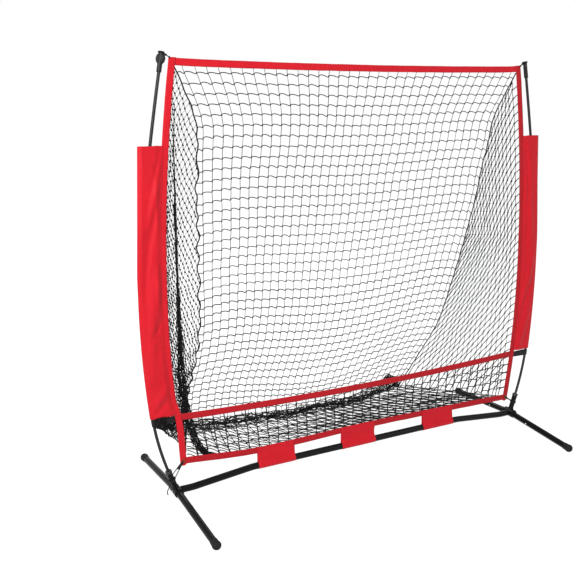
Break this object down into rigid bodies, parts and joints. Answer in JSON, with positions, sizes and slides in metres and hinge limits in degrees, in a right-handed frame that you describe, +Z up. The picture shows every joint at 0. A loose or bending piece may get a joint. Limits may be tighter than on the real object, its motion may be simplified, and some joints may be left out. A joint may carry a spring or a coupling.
{
  "type": "pitching target net",
  "caption": "Free-standing bow-frame practice net: a square net pocket held open between bent poles on a low steel tube base, which catches pitched or hit balls.",
  "frame": {"origin": "on the floor, under the middle of the whole net: midway between the hubs and between the front feet and the rear hem of the pocket", "axes": "+X runs along the crossbar, to the right as seen from the front, +Y points to the back, where the pocket hangs, and +Z points up"},
  "size_m": [1.8042, 0.8874, 1.5576],
  "materials": {
    "tube_black": "powder-coated steel tube, satin near-black",
    "foot_rubber": "moulded black rubber, soft sheen",
    "button_steel": "bright zinc-plated spring steel",
    "bush_plastic": "moulded black nylon",
    "pole_grey": "pultruded glass-fibre rod, dark grey, satin",
    "ferrule_steel": "drawn steel sleeve",
    "cap_plastic": "moulded black plastic",
    "cloth_red": "crimson woven polyester, plain weave",
    "webbing_black": "black polypropylene webbing",
    "twine_black": "knotted black polyethylene twine",
    "elastic_black": "round black elastic cord, braided cover",
    "eyelet_brass": "pressed brass, lightly dulled"
  },
  "bodies": {
    "frame": {"hub_left": "tube_black", "crossbar_left": "tube_black", "leg_front_left": "tube_black", "foot_cap_front_left": "foot_rubber", "leg_rear_left": "tube_black", "foot_cap_rear_left": "foot_rubber", "socket_bush_left": "bush_plastic", "pole_lower_left": "pole_grey", "pole_upper_left": "pole_grey", "pole_ferrule_left": "ferrule_steel", "tape_left": "cloth_red", "sleeve_left": "cloth_red", "tab_left": "cloth_red", "pole_strap_left": "webbing_black", "net_side_left": "twine_black", "seam_cord_left": "twine_black", "top_cord_left": "elastic_black", "bottom_cord_left": "elastic_black", "hub_right": "tube_black", "crossbar_right": "tube_black", "leg_front_right": "tube_black", "foot_cap_front_right": "foot_rubber", "leg_rear_right": "tube_black", "foot_cap_rear_right": "foot_rubber", "socket_bush_right": "bush_plastic", "pole_lower_right": "pole_grey", "pole_upper_right": "pole_grey", "pole_ferrule_right": "ferrule_steel", "tape_right": "cloth_red", "sleeve_right": "cloth_red", "tab_right": "cloth_red", "pole_strap_right": "webbing_black", "net_side_right": "twine_black", "seam_cord_right": "twine_black", "top_cord_right": "elastic_black", "bottom_cord_right": "elastic_black", "crossbar_coupler": "button_steel", "hub_rivets": "button_steel", "button_clips": "button_steel", "tape_top": "cloth_red", "tape_mid": "cloth_red", "tape_bottom": "cloth_red", "tab_middle": "cloth_red", "corner_eyelets": "eyelet_brass", "net_back": "twine_black", "net_floor": "twine_black", "net_front": "twine_black", "net_foot_rope": "twine_black"},
    "button_front_left": {"button_front_left": "button_steel"},
    "button_rear_left": {"button_rear_left": "button_steel"},
    "button_crossbar_left": {"button_crossbar_left": "button_steel"},
    "tip_cap_left": {"tip_cap_left": "cap_plastic"},
    "button_front_right": {"button_front_right": "button_steel"},
    "button_rear_right": {"button_rear_right": "button_steel"},
    "button_crossbar_right": {"button_crossbar_right": "button_steel"},
    "tip_cap_right": {"tip_cap_right": "cap_plastic"}
  },
  "joints": [
    {"name": "button_front_left_press", "type": "slide", "parent": "frame", "child": "button_front_left", "axis": [-1, 0, 0], "range_m": [0, 0.0044], "stiffness_N_per_m": 4000, "springref_m": -0.002},
    {"name": "button_rear_left_press", "type": "slide", "parent": "frame", "child": "button_rear_left", "axis": [-1, 0, 0], "range_m": [0, 0.0044], "stiffness_N_per_m": 4000, "springref_m": -0.002},
    {"name": "button_crossbar_left_press", "type": "slide", "parent": "frame", "child": "button_crossbar_left", "axis": [0, -1, 0], "range_m": [0, 0.0044], "stiffness_N_per_m": 4000, "springref_m": -0.002},
    {"name": "tip_cap_left_turn", "type": "hinge", "parent": "frame", "child": "tip_cap_left", "pos_m": [-0.79108, 0.0101, 1.52346], "axis": [0.1817, 0.0588, 0.9816], "continuous": true},
    {"name": "button_front_right_press", "type": "slide", "parent": "frame", "child": "button_front_right", "axis": [1, 0, 0], "range_m": [0, 0.0044], "stiffness_N_per_m": 4000, "springref_m": -0.002},
    {"name": "button_rear_right_press", "type": "slide", "parent": "frame", "child": "button_rear_right", "axis": [1, 0, 0], "range_m": [0, 0.0044], "stiffness_N_per_m": 4000, "springref_m": -0.002},
    {"name": "button_crossbar_right_press", "type": "slide", "parent": "frame", "child": "button_crossbar_right", "axis": [0, -1, 0], "range_m": [0, 0.0044], "stiffness_N_per_m": 4000, "springref_m": -0.002},
    {"name": "tip_cap_right_turn", "type": "hinge", "parent": "frame", "child": "tip_cap_right", "pos_m": [0.79108, 0.0101, 1.52346], "axis": [-0.1817, 0.0588, 0.9816], "continuous": true}
  ]
}
